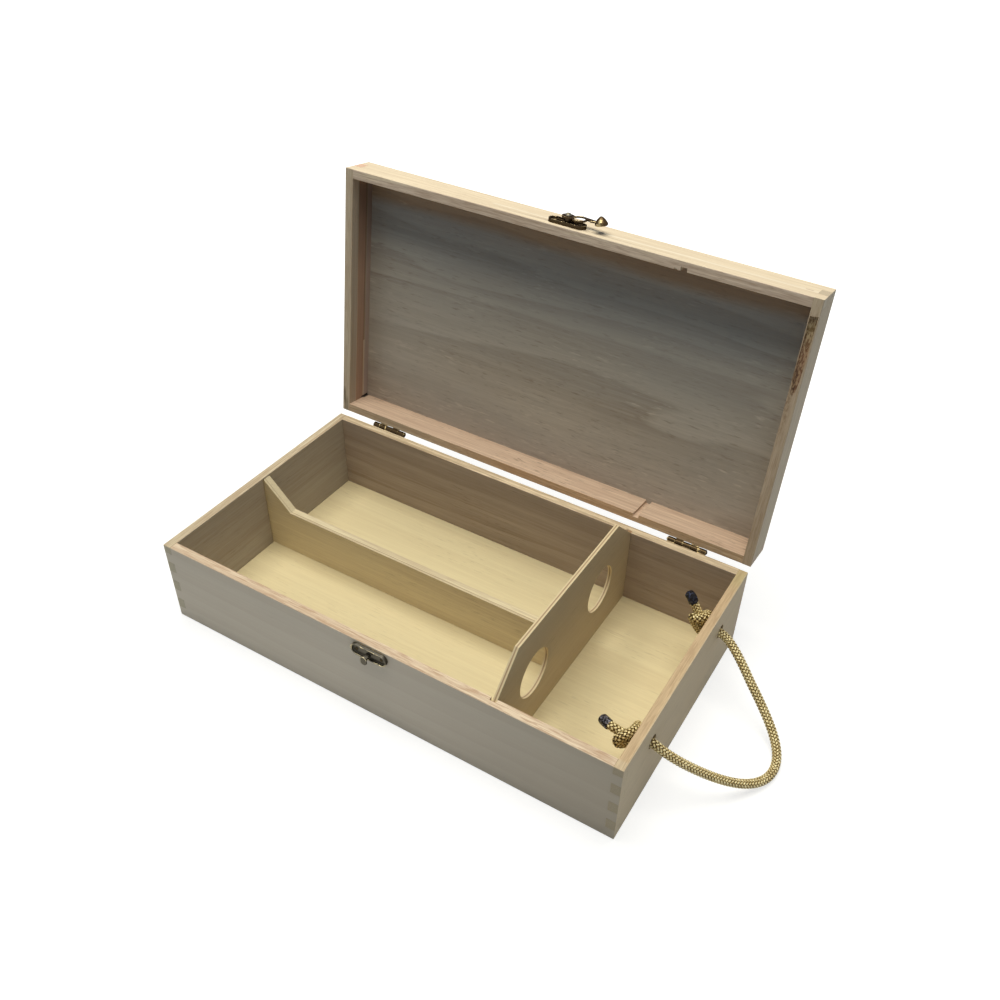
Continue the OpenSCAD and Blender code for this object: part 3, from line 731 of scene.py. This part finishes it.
board("lid_left_rail", wood(
    "lid_left_rail_wood", (0.62, 0.52, 0.38), vein_wood, "Y", (-60, 40), pitch=9, rings=0.14,
    streaks=0.4, end=(1.15, 0.92, 0.90), edge_streaks=1.4, seed=10.0, in_lid=True, ragged=1.2,
    marks=[
        # Inside: grey-brown bands along the grain, one thin dark line between two of them
        ((-174.2, -92, 69.5), (-172, 95, 76.8), 0.4, (0.43, 0.365, 0.30), 0.8),
        ((-174.2, -92, 77.2), (-172, 95, 86.0), 0.5, (0.41, 0.255, 0.185), 0.9),
        ((-174.2, -92, 85.4), (-172, 40, 87.2), 0.4, (0.16, 0.09, 0.06), 0.6),
        ((-174.2, -92, 87.4), (-172, 95, 93.5), 0.5, (0.40, 0.315, 0.29), 0.85),
        # Inside: painted shade, darker towards the front under the front rail, and nearly black
        # in the back corner
        ((-174.2, -110, 76.5), (-172, -45, 93.5), (0.3, 30, 0.6), (0.10, 0.065, 0.045), 0.6),
        ((-174.2, 89.8, 84.5), (-172, 91.9, 93.2), (0.4, 0.3, 0.5), (0.01, 0.007, 0.005), 1.0),
        # Lip: a slanted dark streak that ends at the back corner
        ((-180.4, 66, lip_low), (-178.9, 82, lip_high), (0.4, 3, 0.1), (0.32, 0.27, 0.18), 0.6),
        ((-179.4, 79, lip_low), (-177.2, 91, lip_high), (0.4, 3, 0.1), (0.15, 0.115, 0.065),
         0.85),
        ((-177.8, 87, lip_low), (-175, 100, lip_high), (0.4, 3, 0.1), (0.09, 0.065, 0.04),
         0.95)]),
    "lid", ease=0.3 * mm)
wane_low, wane_high = 69.1, 72.5
board("lid_right_rail", wood(
    "lid_right_rail_wood", (0.64, 0.53, 0.38), vein_wood, "Y", (60, 40), pitch=9, rings=0.10,
    streaks=0.35, edge_streaks=1.4, seed=11.0, in_lid=True, ragged=1.0, marks=[
        # Browner lip
        ((170, -86.8, lip_low), (179.4, 99, lip_high), (1, 2, 0.1), (0.56, 0.43, 0.30), 0.75),
        # Bark edge: brown, yellower at its front end and nearly black inside its back end
        ((173.2, -86.6, wane_low), (179.4, -20, wane_high), (0.3, 0.3, 0.05),
         (0.16, 0.07, 0.03), 0.95, (0.44, 0.28, 0.16)),
        ((173.2, -87, wane_low), (179.4, -70, wane_high), (0.3, 8, 0.05),
         (0.17, 0.115, 0.045), 0.85, (0.47, 0.37, 0.21)),
        ((173.2, -52, wane_low), (176.6, -20, wane_high), (0.5, 9, 0.05),
         (0.035, 0.016, 0.008), 0.85, (0.30, 0.18, 0.09)),
        # Lip: the stain that runs on behind the bark edge
        ((172.5, -60, 68.9), (176.5, 0, 69.2), (1.2, 14, 0.05),
         (0.22, 0.12, 0.06), 0.6, (0.50, 0.37, 0.24))]),
    "lid", ease=0.3 * mm, rough=(173.7 * mm, 179.7 * mm))

# ---------- Lid panel ----------
# A thin plywood panel with wavy grain, let into a rebate flush with the lid's outside.
# Its inside has painted shade: darker overall, and darker still in the front rail's shadow.

board("lid_panel", wood(
    "lid_panel_wood", (0.54, 0.475, 0.395), (0.25, 0.19, 0.14), shift=(-60, -150), pitch=19,
    warp=95, rings=0.46, streaks=0.28, pores=0.35, dashes=0.0, flecks=1.0, mottle=0.5,
    shade=(0.72, 0.77, 0.84), edge_streaks=1.0, seed=12.0, in_lid=True, marks=[
        # The outside at the wood's own tone; the darker inside is painted shade
        ((-190, -110, 94.5), (190, 110, 97), (1, 1, 0.1), (0.76, 0.66, 0.51), 1.0)],
    # Painted shade on the inside: the front rail's shadow, dark and blue-grey towards the front
    # edge
    painted_shade=("Y", 94.4, (-92, (0.60, 0.47, 0.36)), (-78, (0.60, 0.48, 0.38)),
          (-70, (0.63, 0.67, 0.74)), (-50, (0.64, 0.70, 0.78)), (-30, (0.80, 0.84, 0.88)),
          (0, (0.92, 0.94, 0.95)), (60, (1.07, 1.07, 1.06)))), "lid")

# ---------- Hinges ----------
# Two small box hinges, each of two leaves rolled from brass sheet and a pin. The brass
# is darkened with age and worn bright on its edges.


def brass(name, bright, dark, rim, wear=0.85):
    """Antiqued brass: a dark film, with bright metal where wear has reached it; the rim colour
    is the film's tint at a grazing angle."""
    material, tree, surface, where = shader(name)
    film = clouds(tree, where, 620.0, 4.0)
    areas = clouds(tree, where, 150.0, 1.0)
    worn = put(tree, "ShaderNodeAttribute", attribute_name="edge").outputs["Fac"]
    worn = calc(tree, "ADD", worn, swing(tree, film, 0.5))
    worn = calc(tree, "ADD", worn, swing(tree, areas, 1.3))
    colour = ramp(tree, worn, (wear - 0.15, dark), (wear + 0.2, bright))
    tree.links.new(colour, surface.inputs["Base Color"])
    tree.links.new(spread(tree, worn, 0.3, 0.9, 0.34, 0.22), surface.inputs["Roughness"])
    even(surface, {"Metallic": 0.85, "Specular Tint": (*rim, 1.0)})
    bump(tree, surface, film, 0.2, 0.0001)
    return material


def rows_of(items, key, width, kind=float):
    """A property of all items as an array, with one row for each item."""
    flat = np.zeros(len(items) * width, kind)
    items.foreach_get(key, flat)
    return flat.reshape(-1, width)


def metal(node, material, body, voxel=0.18 * mm):
    """A metal piece: the CAD solid with its edges softened, and wear marked on its ridges."""
    name = node + "_metal"
    made = raw_object(name, cad_shape(node))
    skin = made.modifiers.new("skin", "REMESH")
    skin.mode = "VOXEL"
    skin.voxel_size = voxel
    soften = made.modifiers.new("soften", "SMOOTH")
    soften.iterations = 3
    made = finished(made, name)
    mesh = made.data
    co = rows_of(mesh.vertices, "co", 3)
    normal = rows_of(mesh.vertices, "normal", 3)
    ends = rows_of(mesh.edges, "vertices", 2, int)
    # A ridge stands out from the average of the places near it
    near = co.copy()
    degree = np.bincount(ends.ravel(), minlength=len(co))[:, None]
    average_rounds = 10
    for _ in range(average_rounds):
        total = np.zeros_like(near)
        np.add.at(total, ends[:, 0], near[ends[:, 1]])
        np.add.at(total, ends[:, 1], near[ends[:, 0]])
        near = 0.5 * near + 0.5 * total / np.maximum(degree, 1)
    ridge = ((co - near) * normal).sum(1) / voxel
    level_wear, ridge_wear = 0.45, 0.9
    wear = np.clip(level_wear + ridge_wear * ridge, 0, 1).astype(np.float32)
    mesh.attributes.new("edge", "FLOAT", "POINT").data.foreach_set("value", wear)
    mesh.materials.clear()
    mesh.materials.append(material)
    for face in mesh.polygons:
        face.use_smooth = True
    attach(made, body)
    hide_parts(node)


old_brass = brass("old_brass", (0.85, 0.68, 0.36), (0.060, 0.040, 0.020), (0.30, 0.24, 0.15))
for side in ("left", "right"):
    metal("hinge_base_leaf_" + side, old_brass, "base")
    metal("hinge_lid_leaf_" + side, old_brass, "lid")
    metal("hinge_pin_" + side, old_brass, "base")

# ---------- Latch and catch ----------
# A cast latch: a nailed plate, a riveted lever with a finger ring, a curved bar and a
# knob, and the catch on the front wall that the lever swings over.

dull_brass = brass("dull_brass", (0.80, 0.68, 0.42), (0.11, 0.10, 0.08), (0.40, 0.38, 0.32))
dark_brass = brass("dark_brass", (0.70, 0.55, 0.30), (0.052, 0.036, 0.019),
                   (0.30, 0.24, 0.15), wear=1.0)
for node, body, skin in (("catch_plate", "base", dull_brass), ("latch_plate", "lid", dark_brass),
                         ("latch_rivet", "lid", dull_brass), ("latch_lever", "lever", old_brass)):
    metal(node, skin, body, voxel=0.15 * mm)

# ---------- Nails ----------
# Small round-headed brass pins, driven through the leaves and plates into the wood.
# They hold the hinges, the latch and the catch.

nail_brass = brass("nail_brass", (0.45, 0.36, 0.20), (0.055, 0.042, 0.024), (0.3, 0.25, 0.16))
for node, body in (("catch_nails", "base"), ("hinge_base_nails", "base"),
                   ("hinge_lid_nails", "lid"), ("latch_nails", "lid")):
    metal(node, nail_brass, body, voxel=0.12 * mm)

# ---------- Floor and light ----------
# A white table top, a broad warm lamp overhead and a dim cool room. The table and the
# room show white behind the box, and the table keeps its shadow.


def shows_backdrop(tree):
    """1 for rays from the camera, or that come by way of gloss or glass; 0 for the others."""
    path = put(tree, "ShaderNodeLightPath").outputs
    return calc(tree, "MAXIMUM", path["Is Camera Ray"],
                calc(tree, "MAXIMUM", path["Is Glossy Ray"], path["Is Transmission Ray"]))


table_half = 6.0
table_mesh = bpy.data.meshes.new("table")
table_mesh.from_pydata([(x * table_half, y * table_half, 0) for x, y in (
    (-1, -1), (1, -1), (1, 1), (-1, 1))], [], [(0, 1, 2, 3)])
table = placed("table", table_mesh)
table.location.z = -0.2 * mm
table_paint = bpy.data.materials.new("table_paint")
table_paint.use_nodes = True
tree = table_paint.node_tree
tree.nodes.clear()
plain = put(tree, "ShaderNodeBsdfDiffuse", {"Color": (0.66, 0.70, 0.76, 1)}).outputs[0]
white = put(tree, "ShaderNodeBsdfDiffuse", {"Color": (0.5, 0.5, 0.5, 1)}).outputs[0]
spot = put(tree, "ShaderNodeTexCoord").outputs["Object"]
away = put(tree, "ShaderNodeVectorMath", {0: spot}, operation="LENGTH").outputs["Value"]
glow = put(tree, "ShaderNodeEmission", {
    "Color": (1, 1, 1, 1), "Strength": spread(tree, away, 0.3, 0.7, 0.7, 1.0)}).outputs[0]
bright = put(tree, "ShaderNodeAddShader", {0: white, 1: glow}).outputs[0]
paint = put(tree, "ShaderNodeMixShader", {0: shows_backdrop(tree), 1: plain, 2: bright})
put(tree, "ShaderNodeOutputMaterial", {"Surface": paint.outputs[0]})
table_mesh.materials.append(table_paint)

lamp = placed("overhead_lamp", bpy.data.lights.new("overhead_lamp", "AREA"))
lamp.data.shape = "RECTANGLE"
lamp.data.size = 1.3
lamp.data.size_y = 1.0
lamp.data.energy = 23.4
lamp.data.color = (1.0, 0.965, 0.86)
lamp.location = (-0.1, 0.05, 1.5)

room = bpy.data.worlds.new("room")
bpy.context.scene.world = room
room.use_nodes = True
tree = room.node_tree
tree.nodes.clear()
dim = put(tree, "ShaderNodeBackground", {"Color": (0.5, 0.75, 1.0, 1), "Strength": 0.10})
clear = put(tree, "ShaderNodeBackground", {"Color": (1, 1, 1, 1), "Strength": 1.0})
sky = put(tree, "ShaderNodeMixShader",
          {0: shows_backdrop(tree), 1: dim.outputs[0], 2: clear.outputs[0]})
put(tree, "ShaderNodeOutputWorld", {"Surface": sky.outputs[0]})

bpy.context.scene.view_settings.view_transform = "Standard"
